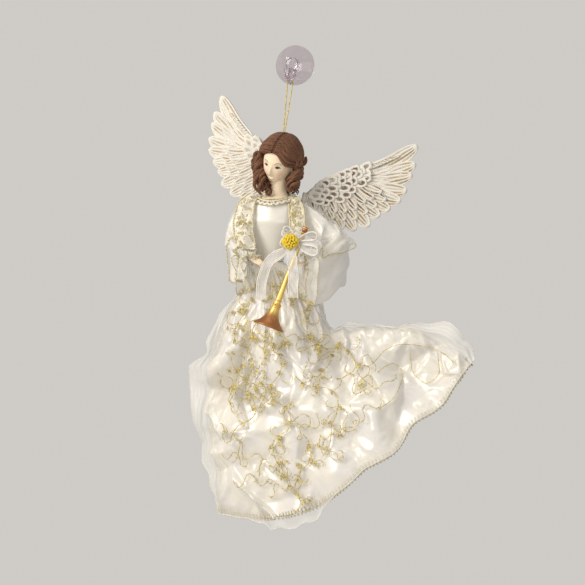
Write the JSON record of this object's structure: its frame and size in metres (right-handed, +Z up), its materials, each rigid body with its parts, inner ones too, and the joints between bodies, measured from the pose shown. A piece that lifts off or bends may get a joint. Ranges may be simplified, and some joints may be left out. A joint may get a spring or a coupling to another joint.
{
  "type": "hanging angel decoration",
  "caption": "Doll angel with moulded feathered wings, swept satin and sheer organza gown and a long trumpet, hanging by a gold cord loop from a clear suction-cup wall hook.",
  "frame": {"origin": "centre of the suction cup's back face, in the plane of the wall", "axes": "+Z up, +Y into the wall, the figure faces -Y and its skirt's tail sweeps towards +X"},
  "size_m": [0.2897, 0.1069, 0.4671],
  "materials": {
    "clear_plastic": "clear, glossy",
    "gold_thread": "twisted metallic thread",
    "painted_skin": "matt painted resin",
    "painted_hair": "satin painted resin",
    "body_core": "plain moulded body, covered",
    "satin": "pearly satin",
    "organza": "sheer, with gold thread embroidery",
    "lace": "cream lace with gold thread",
    "feather_paint": "white-washed resin, antiqued grooves",
    "trumpet_gold": "antique gold",
    "flower_yellow": "matt",
    "wire": "plain"
  },
  "bodies": {
    "cup": {"suction_cup": "clear_plastic"},
    "hook": {"cup_hook": "clear_plastic"},
    "cord": {"hanging_cord": "gold_thread"},
    "angel": {"cord_knot": "gold_thread", "head": "painted_skin", "hair": "painted_hair", "torso_core": "body_core", "bodice": "satin", "collar_trim": "lace", "arm_left": "body_core", "arm_right": "body_core", "hand_left": "painted_skin", "hand_right": "painted_skin", "sleeve_left": "satin", "sleeve_right": "satin", "stole_left": "lace", "stole_right": "lace", "skirt_front": "satin", "skirt_back": "satin", "hem_wire": "wire", "overskirt": "organza", "trumpet": "trumpet_gold", "bow_knot": "organza", "bow_loop_left": "organza", "bow_loop_right": "organza", "ribbon_tail_left": "organza", "ribbon_tail_right": "organza", "flower_cluster": "flower_yellow", "wing_left": "feather_paint", "wing_right": "feather_paint"}
  },
  "joints": [
    {"name": "hook_turn", "type": "hinge", "parent": "cup", "child": "hook", "pos_m": [0, -0.01, 0], "axis": [0, 1, 0], "range_deg": [-30, 30]},
    {"name": "cord_lift", "type": "hinge", "parent": "hook", "child": "cord", "pos_m": [0, -0.018, -0.0143], "axis": [-1, 0, 0], "range_deg": [0, 35]},
    {"name": "crown_rock", "type": "hinge", "parent": "cord", "child": "angel", "pos_m": [0, -0.04, -0.071], "axis": [0, 1, 0], "range_deg": [-15, 15]}
  ]
}
